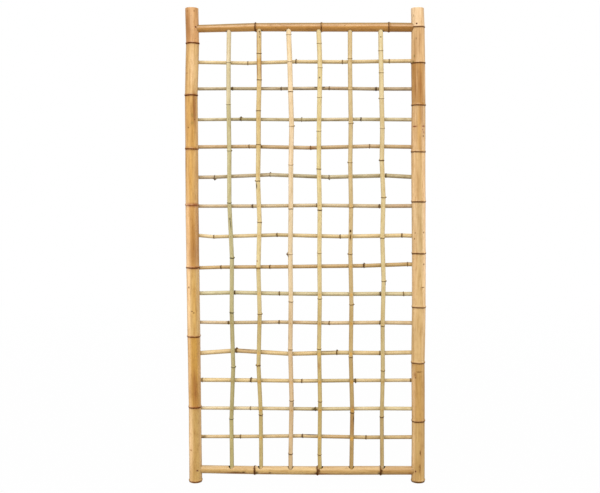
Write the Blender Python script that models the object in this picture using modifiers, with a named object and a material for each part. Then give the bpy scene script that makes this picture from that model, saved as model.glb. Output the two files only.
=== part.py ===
"""Bamboo trellis, modelled piece by piece.

Two thick bamboo posts hold a top rail and a bottom rail in drilled mortises, each
pinned by one nail.  Six upright canes stand in holes drilled in the rails.  Fourteen
cross canes lie behind the uprights, with their ends in holes drilled in the posts.

Lengths are metres unless a name or comment says millimetres.  +Z is up and the
trellis faces -Y.  The origin is on the ground, midway between the posts.
"""
import math
from dataclasses import dataclass

import bmesh
import bpy
from mathutils import Vector

MM = 0.001

# Driving dimensions
HEIGHT = 1800 * MM
GAP = 0.3 * MM                 # clearance between pieces that touch
MEETING_PLANE = 5.3 * MM       # depth where the uprights' backs meet the cross canes' fronts
POST_WALL = 5.5 * MM
RAIL_WALL = 4.5 * MM
POST_PARTITION = 4.0 * MM      # half the thickness of the wall across a post at a node
RAIL_PARTITION = 3.0 * MM
SQUARE_END = 10 * MM           # straight length that keeps a post's top face level
TENON_PAST_AXIS = 6 * MM       # how far a rail runs past a post's axis
UPRIGHT_PAST_AXIS = 3.5 * MM   # how far an upright runs past a rail's axis
UPRIGHT_PLAY = 0.8 * MM        # how much wider than its cane an upright's hole is drilled
CUTTER_OVERRUN = 15 * MM
END_CLEARANCE = 1.0 * MM       # left beyond a cane's end in its hole
MERGE_DISTANCE = 0.01 * MM
SHARP_ANGLE = math.radians(40)

# A bamboo node swells by its ridge and fades out over its flare
POST_RIDGE = 2.0 * MM
POST_FLARE = 9 * MM
RAIL_RIDGE = 2.8 * MM
RAIL_FLARE = 10 * MM
UPRIGHT_RIDGE = 1.2 * MM
UPRIGHT_FLARE = 6 * MM
CROSS_RIDGE = 1.6 * MM
CROSS_FLARE = 5 * MM

# Sides round each tube come from the curve's bevel resolution: four plus twice the value
POST_RESOLUTION = 6
RAIL_RESOLUTION = 5
UPRIGHT_RESOLUTION = 3
CROSS_RESOLUTION = 2
CUTTER_SIDES = 12
MORTISE_SIDES = 16

# Nails that pin the rails
NAIL_SHANK_RADIUS = 1.4 * MM
NAIL_HEAD_RADIUS = 3.2 * MM
NAIL_CROWN_RADIUS = 1.9 * MM   # flat middle of the head's top
NAIL_HEAD_THICKNESS = 1.2 * MM
NAIL_RIM = 0.5 * MM
NAIL_LENGTH = 28 * MM
NAIL_POINT = 4 * MM
NAIL_SIDES = 10

# Posts: height, sideways place and radius at each bamboo node, in millimetres
LEFT_POST_NODES = [
    (6, -417, 24.2),
    (285, -420, 23.4),
    (553, -424, 24.4),
    (814, -428, 24.6),
    (1052, -431, 24.7),
    (1265, -432, 24.6),
    (1469, -434, 24.3),
    (1666, -429, 24.9),
]
LEFT_POST_TOP = (-432, 25.0)
RIGHT_POST_NODES = [
    (6, 429, 25.2),
    (232, 430, 24.6),
    (453, 429, 25.4),
    (664, 432, 26.1),
    (868, 432, 26.2),
    (1065, 431, 26.6),
    (1254, 430, 27.0),
    (1431, 431, 26.4),
    (1591, 429.5, 26.4),
    (1727, 429, 25.3),
]
RIGHT_POST_TOP = (427, 24.5)

# Rails: sideways place, height and radius at each bamboo node, then height and radius
# at the left and right ends, in millimetres
TOP_RAIL_NODES = [(-189, 1728.5, 16.0), (61, 1728.5, 16.9), (317, 1728.5, 17.6)]
TOP_RAIL_ENDS = [(1722, 14.3), (1727.5, 17.2)]
BOTTOM_RAIL_NODES = [(-192, 42.5, 15.2), (46, 41, 15.9), (285, 41.5, 16.2)]
BOTTOM_RAIL_ENDS = [(46.5, 14.5), (41.5, 15.7)]

# Upright canes, left to right.  Ends are the sideways place and radius at the bottom and
# top, nodes are height and sideways place, and holes say which way the drilled hole is
# off centre in the bottom and top rail: -1 left, 0 centred, 1 right.  Millimetres.
UPRIGHTS = [
    {
        "ends": [(-279, 7.7), (-290, 8.5)],
        "nodes": [(238, -281), (435, -274), (642, -280), (850, -279), (1059, -289),
                  (1257, -289), (1433, -292), (1593, -292)],
        "holes": (-1, -1),
        "colour": "#CFC08A",
    },
    {
        "ends": [(-168, 7.5), (-176, 9.4)],
        "nodes": [(254, -169), (442, -178), (637, -173.5), (813, -178.5), (986, -174),
                  (1143, -180), (1281, -178), (1410, -178), (1527, -175), (1627, -176)],
        "holes": (-1, 1),
        "colour": "#DEC48C",
    },
    {
        "ends": [(-56, 8.2), (-63.5, 9.6)],
        "nodes": [(106, -56), (308, -52), (502, -57), (684, -55), (864, -57), (1037, -55),
                  (1204, -55), (1351, -52), (1482, -56), (1596, -59), (1699, -63)],
        "holes": (0, -1),
        "colour": "#EBCB9A",
    },
    {
        "ends": [(56, 7.5), (50, 9.2)],
        "nodes": [(102, 54), (304, 56), (504, 52.5), (695, 55), (868, 53.5), (1032, 55),
                  (1188, 51.5), (1332, 52), (1460, 54), (1573, 56), (1665, 53)],
        "holes": (1, 0),
        "colour": "#DFC884",
    },
    {
        "ends": [(175, 7.9), (170, 8.5)],
        "nodes": [(263, 178.5), (474, 173), (673, 175.5), (865, 171.5), (1042, 174), (1213, 171),
                  (1362, 173), (1490, 171), (1608, 170)],
        "holes": (0, 0),
        "colour": "#CDB27C",
    },
    {
        "ends": [(292, 7.5), (286, 9.3)],
        "nodes": [(246, 291), (422, 295), (592, 294), (762, 298), (926, 293), (1080, 297),
                  (1221, 291), (1343, 293), (1456, 290), (1554, 289), (1638, 287)],
        "holes": (1, 1),
        "colour": "#DCC894",
    },
]

# Cross canes, top to bottom.  Ends are the height and radius at the left and right, and
# nodes are sideways place and height, in millimetres.
CROSS_CANES = [
    {
        "ends": [(1597, 6.7), (1602, 7.5)],
        "nodes": [(-220, 1593.5), (-36, 1599), (141, 1598), (320, 1601)],
        "colour": "#D9C48C",
    },
    {
        "ends": [(1495, 6.1), (1495, 7.1)],
        "nodes": [(-278, 1496), (-92, 1496), (91, 1497.5), (270, 1495)],
        "colour": "#9A8A66",
    },
    {
        "ends": [(1377, 5.9), (1377.5, 7.3)],
        "nodes": [(-246, 1379), (-15, 1377), (213, 1379)],
        "colour": "#A99A6A",
    },
    {
        "ends": [(1273, 7.0), (1273, 7.7)],
        "nodes": [(-215, 1275), (20, 1270), (245, 1276)],
        "colour": "#CBA97A",
    },
    {
        "ends": [(1157, 6.7), (1157.5, 8.0)],
        "nodes": [(-347, 1158), (-134, 1167), (91, 1158), (308, 1164)],
        "colour": "#AFA27A",
    },
    {
        "ends": [(1052, 6.6), (1048, 7.6)],
        "nodes": [(-201, 1047), (43, 1050), (283, 1047)],
        "colour": "#CDB083",
    },
    {
        "ends": [(937, 6.6), (933, 8.0)],
        "nodes": [(-349, 930), (-108, 937), (133, 931), (369, 935)],
        "colour": "#D5BC86",
    },
    {
        "ends": [(810.5, 6.7), (824, 7.8)],
        "nodes": [(-322, 814), (-135, 815), (47, 817), (224, 819), (390, 825)],
        "colour": "#BE9152",
    },
    {
        "ends": [(713.5, 7.5), (710.5, 7.8)],
        "nodes": [(-269, 717), (-99, 713), (54, 711.5), (175, 711), (287, 712), (375, 711.5)],
        "colour": "#C4B98E",
    },
    {
        "ends": [(604, 6.2), (600.5, 7.6)],
        "nodes": [(-293, 602), (-100, 604), (91, 600.5), (285, 602)],
        "colour": "#CBAA80",
    },
    {
        "ends": [(484, 8.2), (488, 8.0)],
        "nodes": [(-262, 495), (-58, 482.5), (121, 487), (285, 485.5)],
        "colour": "#D9BC85",
    },
    {
        "ends": [(383, 7.8), (382, 6.5)],
        "nodes": [(-393, 383), (-207, 381.5), (-13, 379), (191, 381), (401, 382)],
        "colour": "#D6BC86",
    },
    {
        "ends": [(276, 6.2), (273, 7.3)],
        "nodes": [(-210, 275), (38, 272), (289, 274)],
        "colour": "#CDBE95",
    },
    {
        "ends": [(167, 6.4), (164.5, 7.3)],
        "nodes": [(-248, 167), (-11, 169), (232, 163.5)],
        "colour": "#CFAF7C",
    },
]

# Nails: name, post, rail, and the head's sideways place and height in millimetres
NAILS = [
    ("nail_top_left", "left_post", "top_rail", -415, 1726),
    ("nail_top_right", "right_post", "top_rail", 421, 1738),
    ("nail_bottom_left", "left_post", "bottom_rail", -408, 48),
    ("nail_bottom_right", "right_post", "bottom_rail", 417, 45),
]

POST_COLOURS = {"left_post": "#D9A066", "right_post": "#DDB07A"}
RAIL_COLOURS = {"top_rail": "#B5854A", "bottom_rail": "#DDB87C"}
NAIL_COLOUR = "#5A4632"
CANE_ROUGHNESS = 0.45
NAIL_ROUGHNESS = 0.5
NAIL_METALLIC = 0.8


def interpolate(points, along, column):
    """Value in a column of a sorted list of rows, straight between rows and flat past the ends."""
    if along <= points[0][0]:
        return points[0][column]
    for low, high in zip(points, points[1:]):
        if along <= high[0]:
            share = (along - low[0]) / (high[0] - low[0])
            return low[column] + share * (high[column] - low[column])
    return points[-1][column]


@dataclass
class Culm:
    """One length of bamboo that runs up (vertical) or across, bending a little at its nodes.

    course rows are (along, across, radius) from one end to the other, in metres.  nodes are
    the places along it of its bamboo nodes, and pressed is the set of those that lie on a
    crossing, which swell away from the cane they cross.
    """

    name: str
    vertical: bool
    course: list
    nodes: list
    ridge: float
    flare: float
    side: int = 0
    pressed: frozenset = frozenset()

    def bare_radius(self, along):
        """Radius without the swelling of the nodes."""
        return interpolate(self.course, along, 2)

    def swelling(self, along, nodes=None):
        """Height of the node ridges at a place along the culm."""
        chosen = self.nodes if nodes is None else nodes
        fade = [1 - abs(along - node) / self.flare for node in chosen]
        return self.ridge * max([0.0] + fade)

    def radius(self, along):
        """Outer radius at a place along the culm."""
        return self.bare_radius(along) + self.swelling(along)

    def depth(self, along):
        """Y of the axis: on the frame's mid plane, or beside the plane where canes meet."""
        if self.side == 0:
            return 0.0
        clearance = GAP if self.side > 0 else 0.0
        away = self.bare_radius(along) + clearance + self.swelling(along, self.pressed)
        return MEETING_PLANE + self.side * away

    def point(self, along):
        """Point on the axis at a place along the culm."""
        across = interpolate(self.course, along, 1)
        if self.vertical:
            return Vector((across, self.depth(along), along))
        return Vector((along, self.depth(along), across))

    def rings(self):
        """Places along the culm where its tube has a ring of vertices, in order."""
        first = self.course[0][0]
        last = self.course[-1][0]
        places = {first, last}
        for node in self.nodes:
            for offset in (-self.flare, 0.0, self.flare):
                if first < node + offset < last:
                    places.add(node + offset)
        if self.vertical and self.side == 0:
            places.add(last - SQUARE_END)
        return sorted(places)


def metres(rows):
    """Rows of millimetres as rows of metres."""
    return [tuple(value * MM for value in row) for row in rows]


def make_post(name, nodes, top):
    """Course of a post, whose last centimetre is upright so that its top face is level."""
    rows = metres(nodes)
    top_place, top_radius = (value * MM for value in top)
    foot = (0.0, rows[0][1], rows[0][2])
    crown = [(HEIGHT - SQUARE_END, top_place, top_radius), (HEIGHT, top_place, top_radius)]
    places = [row[0] for row in rows]
    return Culm(name, True, [foot] + rows + crown, places, POST_RIDGE, POST_FLARE)


def make_rail(name, nodes, ends, posts):
    """Course of a rail, from just past the left post's axis to just past the right one's."""
    rows = metres(nodes)
    (left_height, left_radius), (right_height, right_radius) = metres(ends)
    left_place = posts[0].point(left_height).x - TENON_PAST_AXIS
    right_place = posts[1].point(right_height).x + TENON_PAST_AXIS
    course = [(left_place, left_height, left_radius)] + rows
    course.append((right_place, right_height, right_radius))
    places = [row[0] for row in rows]
    return Culm(name, False, course, places, RAIL_RIDGE, RAIL_FLARE)


def tapered(start, end, nodes):
    """Course rows from one end, through the nodes, to the other, with an even taper."""
    span = end[0] - start[0]
    rows = [start]
    for along, across in nodes:
        share = (along - start[0]) / span
        rows.append((along, across, start[2] + share * (end[2] - start[2])))
    rows.append(end)
    return rows


def make_upright(index, cane, rails):
    """Course of an upright cane, from inside the bottom rail to inside the top rail."""
    (low_place, low_radius), (high_place, high_radius) = metres(cane["ends"])
    low_height = rails[1].point(low_place).z - UPRIGHT_PAST_AXIS
    high_height = rails[0].point(high_place).z + UPRIGHT_PAST_AXIS
    nodes = metres(cane["nodes"])
    course = tapered((low_height, low_place, low_radius),
                     (high_height, high_place, high_radius), nodes)
    places = [node[0] for node in nodes]
    return Culm(f"upright_cane_{index}", True, course, places,
                UPRIGHT_RIDGE, UPRIGHT_FLARE, side=-1)


def make_cross_cane(index, cane, posts):
    """Course of a cross cane, from the left post's axis to the right post's axis."""
    (left_height, left_radius), (right_height, right_radius) = metres(cane["ends"])
    left_place = posts[0].point(left_height).x
    right_place = posts[1].point(right_height).x
    nodes = metres(cane["nodes"])
    course = tapered((left_place, left_height, left_radius),
                     (right_place, right_height, right_radius), nodes)
    places = [node[0] for node in nodes]
    return Culm(f"cross_cane_{index:02d}", False, course, places,
                CROSS_RIDGE, CROSS_FLARE, side=1)


def mark_pressed_nodes(canes, others):
    """Find the canes' bamboo nodes that lie on a crossing, so that they swell away from it."""
    for cane in canes:
        pressed = set()
        for node in cane.nodes:
            spot = cane.point(node)
            place = spot.x if cane.vertical else spot.z
            for other in others:
                crossing = other.point(place)
                distance = abs((crossing.z if cane.vertical else crossing.x) - node)
                if distance < other.bare_radius(place) + cane.flare:
                    pressed.add(node)
        cane.pressed = frozenset(pressed)


def linear(code):
    """Linear RGBA of an sRGB hex colour."""
    channels = [int(code[place:place + 2], 16) / 255 for place in (1, 3, 5)]
    values = [c / 12.92 if c <= 0.04045 else ((c + 0.055) / 1.055) ** 2.4 for c in channels]
    return (*values, 1.0)


def dress(obj, colour, roughness, metallic=0.0):
    """Give an object its own material."""
    material = bpy.data.materials.new(f"{obj.name}_finish")
    material.use_nodes = True
    shader = material.node_tree.nodes["Principled BSDF"]
    shader.inputs["Base Color"].default_value = linear(colour)
    shader.inputs["Roughness"].default_value = roughness
    shader.inputs["Metallic"].default_value = metallic
    obj.data.materials.append(material)


def culm_curve(culm, resolution, collection):
    """Curve object of a culm, its origin at the culm's first end."""
    places = culm.rings()
    origin = culm.point(places[0])
    data = bpy.data.curves.new(culm.name, "CURVE")
    data.dimensions = "3D"
    data.twist_mode = "MINIMUM"
    data.bevel_depth = culm.bare_radius(places[0])
    data.bevel_resolution = resolution
    data.use_fill_caps = True
    spline = data.splines.new("POLY")
    spline.points.add(len(places) - 1)
    for point, along in zip(spline.points, places):
        point.co = (*(culm.point(along) - origin), 1.0)
        point.radius = culm.radius(along) / data.bevel_depth
    obj = bpy.data.objects.new(culm.name, data)
    obj.location = origin
    collection.objects.link(obj)
    return obj


def curve_to_mesh(obj, collection):
    """Replace a curve object by a closed mesh object of the same name and place."""
    bpy.context.view_layer.update()
    evaluated = obj.evaluated_get(bpy.context.evaluated_depsgraph_get())
    mesh = bpy.data.meshes.new_from_object(evaluated)
    work = bmesh.new()
    work.from_mesh(mesh)
    bmesh.ops.remove_doubles(work, verts=work.verts, dist=MERGE_DISTANCE)
    work.to_mesh(mesh)
    work.free()
    name = obj.name
    place = obj.matrix_world.copy()
    bpy.data.objects.remove(obj)
    solid = bpy.data.objects.new(name, mesh)
    solid.matrix_world = place
    collection.objects.link(solid)
    mesh.shade_smooth()
    mesh.set_sharp_from_angle(angle=SHARP_ANGLE)
    return solid


def add_rod(work, start, end, radius, sides):
    """Add a closed cylinder between two points to a bmesh."""
    axis = end - start
    turn = axis.to_track_quat("Z", "Y").to_matrix().to_4x4()
    turn.translation = (start + end) / 2
    bmesh.ops.create_cone(work, cap_ends=True, segments=sides, radius1=radius,
                          radius2=radius, depth=axis.length, matrix=turn)


def cutter(name, rods, sides, collection):
    """Hidden object made of cylinders that cut holes, given as (start, end, radius)."""
    work = bmesh.new()
    for start, end, radius in rods:
        add_rod(work, start, end, radius, sides)
    mesh = bpy.data.meshes.new(name)
    work.to_mesh(mesh)
    work.free()
    obj = bpy.data.objects.new(name, mesh)
    obj.hide_render = True
    obj.display_type = "WIRE"
    collection.objects.link(obj)
    return obj


def cut(obj, tool):
    """Subtract a cutter from an object."""
    modifier = obj.modifiers.new(tool.name, "BOOLEAN")
    modifier.operation = "DIFFERENCE"
    modifier.solver = "EXACT"
    modifier.object = tool


def around(radius, sides):
    """Radius of a prism with this many sides whose flats lie on the given radius."""
    return radius / math.cos(math.pi / sides)


def chambers(culm, wall, partition, open_start, open_end):
    """Rods for the hollow chambers between a culm's nodes, open at the ends asked for."""
    spans = [(low + partition, high - partition)
             for low, high in zip(culm.nodes, culm.nodes[1:])]
    if open_start:
        spans.append((culm.course[0][0] - CUTTER_OVERRUN, culm.nodes[0] - partition))
    if open_end:
        spans.append((culm.nodes[-1] + partition, culm.course[-1][0] + CUTTER_OVERRUN))
    rods = []
    for low, high in spans:
        radius = min(culm.bare_radius(low), culm.bare_radius(high)) - wall
        rods.append((culm.point(low), culm.point(high), radius))
    return rods


def mortises(post, guests, at_start, sides):
    """Rods for the holes in a post that hold the ends of the rail or canes on that side."""
    rods = []
    for guest in guests:
        end = guest.course[0] if at_start else guest.course[-1]
        inward = -1 if at_start else 1
        axis = post.point(end[1])
        mouth = axis.x - inward * post.bare_radius(end[1])
        radius = around(max(end[2], guest.bare_radius(mouth)) + GAP, sides)
        inner = guest.point(end[0] + inward * END_CLEARANCE)
        outer = guest.point(mouth - inward * CUTTER_OVERRUN)
        rods.append((inner, outer, radius))
    return rods


def upright_holes(rail, uprights, at_start, sides):
    """Rods for the holes in a rail where the uprights end, each a little off centre."""
    rods = []
    for upright, cane in zip(uprights, UPRIGHTS):
        end = upright.course[0] if at_start else upright.course[-1]
        inward = -1 if at_start else 1
        mouth = rail.point(end[1]).z - inward * rail.bare_radius(end[1])
        offset = Vector((cane["holes"][0 if at_start else 1] * UPRIGHT_PLAY, 0.0, 0.0))
        inner = upright.point(end[0] + inward * END_CLEARANCE) + offset
        outer = upright.point(mouth - inward * CUTTER_OVERRUN) + offset
        rods.append((inner, outer, around(end[2] + GAP + UPRIGHT_PLAY, sides)))
    return rods


def nail_line(post, place, height):
    """Where a nail's head sits on a post, and the unit vector out of the wood there."""
    reach = max(post.radius(height - NAIL_HEAD_RADIUS), post.radius(height + NAIL_HEAD_RADIUS))
    seat = reach + GAP
    axis = post.point(height)
    sideways = place - axis.x
    outward = Vector((sideways, -math.sqrt(seat ** 2 - sideways ** 2), 0.0)).normalized()
    return axis + outward * seat, outward


def nail_hole(seat, outward):
    """Rod for the hole a nail fills, from outside the post to past the nail's point."""
    tip = seat - outward * (NAIL_LENGTH + END_CLEARANCE)
    return seat + outward * CUTTER_OVERRUN, tip, around(NAIL_SHANK_RADIUS + GAP, CUTTER_SIDES)


def make_nail(name, seat, outward, collection):
    """Round-headed nail turned from a profile, its origin under the head."""
    profile = [
        (0.0, NAIL_HEAD_THICKNESS),
        (NAIL_CROWN_RADIUS, NAIL_HEAD_THICKNESS),
        (NAIL_HEAD_RADIUS, NAIL_RIM),
        (NAIL_HEAD_RADIUS, 0.0),
        (NAIL_SHANK_RADIUS, 0.0),
        (NAIL_SHANK_RADIUS, NAIL_POINT - NAIL_LENGTH),
        (0.0, -NAIL_LENGTH),
    ]
    mesh = bpy.data.meshes.new(name)
    corners = [(across, 0.0, along) for across, along in profile]
    mesh.from_pydata(corners, [(i, i + 1) for i in range(len(corners) - 1)], [])
    nail = bpy.data.objects.new(name, mesh)
    nail.location = seat
    nail.rotation_mode = "QUATERNION"
    nail.rotation_quaternion = outward.to_track_quat("Z", "Y")
    collection.objects.link(nail)
    screw = nail.modifiers.new("turned", "SCREW")
    screw.steps = NAIL_SIDES
    screw.render_steps = NAIL_SIDES
    screw.use_merge_vertices = True
    screw.merge_threshold = MERGE_DISTANCE
    dress(nail, NAIL_COLOUR, NAIL_ROUGHNESS, NAIL_METALLIC)
    return nail


def clear_scene():
    """Remove every object, so that the file holds only the trellis."""
    for obj in list(bpy.data.objects):
        bpy.data.objects.remove(obj, do_unlink=True)


def new_collection(name):
    """Add a collection to the scene."""
    collection = bpy.data.collections.new(name)
    bpy.context.scene.collection.children.link(collection)
    return collection


def build():
    """Model every piece of the trellis."""
    clear_scene()
    pieces = new_collection("bamboo_trellis")
    tools = new_collection("bamboo_trellis_cutters")

    posts = [make_post("left_post", LEFT_POST_NODES, LEFT_POST_TOP),
             make_post("right_post", RIGHT_POST_NODES, RIGHT_POST_TOP)]
    rails = [make_rail("top_rail", TOP_RAIL_NODES, TOP_RAIL_ENDS, posts),
             make_rail("bottom_rail", BOTTOM_RAIL_NODES, BOTTOM_RAIL_ENDS, posts)]
    uprights = [make_upright(i, cane, rails) for i, cane in enumerate(UPRIGHTS, 1)]
    cross_canes = [make_cross_cane(i, cane, posts) for i, cane in enumerate(CROSS_CANES, 1)]
    mark_pressed_nodes(uprights, cross_canes)
    mark_pressed_nodes(cross_canes, uprights)

    nail_holes = {culm.name: [] for culm in posts + rails}
    post_named = {post.name: post for post in posts}
    for name, post_name, rail_name, place, height in NAILS:
        seat, outward = nail_line(post_named[post_name], place * MM, height * MM)
        make_nail(name, seat, outward, pieces)
        nail_holes[post_name].append(nail_hole(seat, outward))
        nail_holes[rail_name].append(nail_hole(seat, outward))

    for post in posts:
        solid = curve_to_mesh(culm_curve(post, POST_RESOLUTION, pieces), pieces)
        at_start = post is posts[0]
        hollows = chambers(post, POST_WALL, POST_PARTITION, open_start=False, open_end=True)
        cut(solid, cutter(f"{post.name}_chambers", hollows, CUTTER_SIDES, tools))
        seats = mortises(post, rails, at_start, MORTISE_SIDES)
        cut(solid, cutter(f"{post.name}_mortises", seats, MORTISE_SIDES, tools))
        drilled = mortises(post, cross_canes, at_start, CUTTER_SIDES)
        cut(solid, cutter(f"{post.name}_cane_holes", drilled, CUTTER_SIDES, tools))
        cut(solid, cutter(f"{post.name}_nail_holes", nail_holes[post.name], CUTTER_SIDES, tools))
        dress(solid, POST_COLOURS[post.name], CANE_ROUGHNESS)

    for rail in rails:
        solid = curve_to_mesh(culm_curve(rail, RAIL_RESOLUTION, pieces), pieces)
        at_start = rail is rails[1]
        hollows = chambers(rail, RAIL_WALL, RAIL_PARTITION, open_start=True, open_end=True)
        cut(solid, cutter(f"{rail.name}_chambers", hollows, CUTTER_SIDES, tools))
        drilled = upright_holes(rail, uprights, at_start, CUTTER_SIDES)
        cut(solid, cutter(f"{rail.name}_cane_holes", drilled, CUTTER_SIDES, tools))
        cut(solid, cutter(f"{rail.name}_nail_holes", nail_holes[rail.name], CUTTER_SIDES, tools))
        dress(solid, RAIL_COLOURS[rail.name], CANE_ROUGHNESS)

    for culm, cane in zip(uprights, UPRIGHTS):
        dress(culm_curve(culm, UPRIGHT_RESOLUTION, pieces), cane["colour"], CANE_ROUGHNESS)
    for culm, cane in zip(cross_canes, CROSS_CANES):
        dress(culm_curve(culm, CROSS_RESOLUTION, pieces), cane["colour"], CANE_ROUGHNESS)


build()
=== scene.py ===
"""Looks of a bamboo trellis: its culms, drilled holes, nails and pins, their finishes, the studio.

Two thick bamboo posts carry a top and a bottom rail.  Six upright canes stand in the rails, and
fourteen cross canes lie behind them with their ends in the posts.  Each culm's course, thickness
and bamboo nodes are read from its solid in the frame, and its own marks are given here.
Lengths are metres unless a name or comment says millimetres.
"""
import logging
import math
import random
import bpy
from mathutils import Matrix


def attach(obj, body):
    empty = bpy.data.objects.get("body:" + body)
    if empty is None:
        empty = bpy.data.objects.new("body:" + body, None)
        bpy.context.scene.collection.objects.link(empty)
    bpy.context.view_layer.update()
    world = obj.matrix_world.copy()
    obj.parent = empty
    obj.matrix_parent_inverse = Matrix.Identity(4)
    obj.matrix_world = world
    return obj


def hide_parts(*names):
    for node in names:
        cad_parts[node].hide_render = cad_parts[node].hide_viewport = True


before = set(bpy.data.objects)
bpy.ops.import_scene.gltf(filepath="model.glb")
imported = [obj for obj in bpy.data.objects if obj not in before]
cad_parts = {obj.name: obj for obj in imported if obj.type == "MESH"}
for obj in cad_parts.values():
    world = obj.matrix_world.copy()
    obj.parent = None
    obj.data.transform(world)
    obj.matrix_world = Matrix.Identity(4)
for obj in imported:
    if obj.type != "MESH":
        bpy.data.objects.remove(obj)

import zlib
from dataclasses import dataclass
from enum import Enum

import bmesh
import bpy
import numpy as np
from bmesh.types import BMEdge, BMesh, BMFace, BMVert
from bpy.types import Material, Mesh, Node, NodeSocket, NodeTree, Object
from mathutils import Matrix, Vector

log = logging.getLogger("trellis")

MM = 0.001
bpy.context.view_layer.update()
SHARP = math.radians(38)    # edges bent more than this stay sharp
SAME_POINT = 0.01 * MM      # corners closer than this become one

# The photographer's place, worked out from the bow of the posts' nodes
EYE_DISTANCE = 3.2
EYE_HEIGHT = 1.1
PHOTO_WIDTH = 600
MM_PER_PIXEL = 3.807
MIDDLE_PIXEL = (305.3, 192.3)
PHOTO_CENTRE = (300.0, 246.5)
SENSOR = 36.0

Materials = dict[str, Material]
Holes = list[tuple[Vector, Vector, float]]    # inner end, outer end and radius of each


def linear(code: str) -> tuple[float, ...]:
    """Turn an sRGB hex colour into linear values.

    Args:
        code: colour such as "#D9A066".

    Returns:
        Four linear values, the last one 1.
    """
    channels = np.array([int(code[place:place + 2], 16) / 255 for place in (1, 3, 5)])
    values = np.where(channels <= 0.04045, channels / 12.92, ((channels + 0.055) / 1.055) ** 2.4)
    return (*values, 1.0)


def set_inputs(tree: NodeTree, node: Node, inputs: dict) -> None:
    """Give a node's inputs their values, or link them from other nodes' sockets.

    Args:
        tree: the tree that the node is in.
        node: the node.
        inputs: input names or numbers, each with a value or with a socket to link from.
    """
    for name, value in inputs.items():
        if isinstance(value, NodeSocket):
            tree.links.new(value, node.inputs[name])
        else:
            node.inputs[name].default_value = value


def add_node(tree: NodeTree, kind: str, settings: dict | None = None,
             inputs: dict | None = None) -> Node:
    """Add a shader node with its settings, and fill or link its inputs.

    Args:
        tree: node tree that gets the node.
        kind: Blender's name of the node type, without ShaderNode before it.
        settings: property names and their values.
        inputs: as for set_inputs.

    Returns:
        The new node.
    """
    node = tree.nodes.new("ShaderNode" + kind)
    for name, value in (settings or {}).items():
        setattr(node, name, value)
    set_inputs(tree, node, inputs or {})
    return node


def placed(name: str, data: bpy.types.ID) -> Object:
    """Put a new object with its data in the scene."""
    thing = bpy.data.objects.new(name, data)
    bpy.context.scene.collection.objects.link(thing)
    return thing


def meshed(work: BMesh, name: str) -> Mesh:
    """Turn a working mesh into a mesh, and free it."""
    mesh = bpy.data.meshes.new(name)
    work.to_mesh(mesh)
    work.free()
    return mesh


def smoothed(mesh: Mesh) -> Mesh:
    """Shade a mesh smooth, apart from its sharp edges."""
    mesh.shade_smooth()
    mesh.set_sharp_from_angle(angle=SHARP)
    return mesh


class Knot(Enum):
    """How a bamboo node is stained: the strength of its dark line, and how broad the line is."""

    FAINT = (0.5, 0.8)
    PLAIN = (0.85, 0.9)
    MEDIUM = (0.9, 1.05)
    DARK = (1.0, 1.25)
    BLACK = (1.0, 2.3)


class StainAndShading(Enum):
    """Colours of the marks, of the black knots and of the buds on the culms' skin; some marks
    along the posts and rails are painted highlights and painted shade.
    """

    SCAR = "#5E3E26"
    MOULD = "#2A1A0A"
    UMBER = "#4A2C0C"
    BROWN = "#9C642C"
    OLIVE = "#87783A"
    AMBER = "#DCA232"
    # pale: bleached patches on the canes, and painted highlight along the rails' upper sides
    BLEACHED = "#D8BE9C"
    # also painted highlight along the posts' edges and on the top rail
    PEACH = "#FFD8A8"
    RUSSET = "#94502E"


SCAR, MOULD, UMBER, BROWN, OLIVE, AMBER, BLEACHED, PEACH, RUSSET = StainAndShading


class Lean(Enum):
    """Which side of its upright a drilled hole in a rail shows more of."""

    LEFT = -1
    CENTRED = 0
    RIGHT = 1


# Options by their first letters, and the leans from the left upright to the right
KNOTS = {knot.name[0]: knot for knot in Knot}
LEANS = {lean.name[0]: lean for lean in Lean}
TOP_LEANS = "LRLCCR"
BOTTOM_LEANS = "LLCRCR"


@dataclass(frozen=True)
class Mark:
    """One mark on a culm's skin: a stained patch, scar or crack, or a band of painted highlight or
    painted shade.

    along is its place in millimetres, up a standing culm or to the right on a lying one.
    around is its place round the culm in degrees: 0 faces the viewer, and 90 is the right side
    of a standing culm or the top of a lying one.  length and width are half sizes in millimetres.
    """

    along: float
    around: float
    length: float
    width: float
    stain_and_shading: StainAndShading
    strength: float = 0.8


@dataclass(frozen=True)
class Bud:
    """Stub of a branch at a bamboo node, counted from the foot or the left, at an angle around."""

    node: int
    around: float
    size: float = 1.0


@dataclass(frozen=True)
class Build:
    """How one kind of culm is shaped; sizes in metres.

    ridge and flare are the height and half length of the solid's swelling at a node.  scar is
    the half width of the dark line there.  pitch and fine_pitch space the rings of the mesh.
    """

    standing: bool
    sides: int
    ridge: float
    flare: float
    scar: float
    pitch: float
    fine_pitch: float
    uneven: float


POST = Build(True, 72, 2.0 * MM, 9 * MM, 2.9 * MM, 4 * MM, 1.2 * MM, 0.22 * MM)
RAIL = Build(False, 48, 2.8 * MM, 10 * MM, 2.2 * MM, 4 * MM, 1.2 * MM, 0.18 * MM)
UPRIGHT = Build(True, 28, 1.2 * MM, 6 * MM, 1.6 * MM, 5 * MM, 0.9 * MM, 0.10 * MM)
CROSS = Build(False, 24, 1.6 * MM, 5 * MM, 1.6 * MM, 5 * MM, 0.8 * MM, 0.10 * MM)


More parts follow.
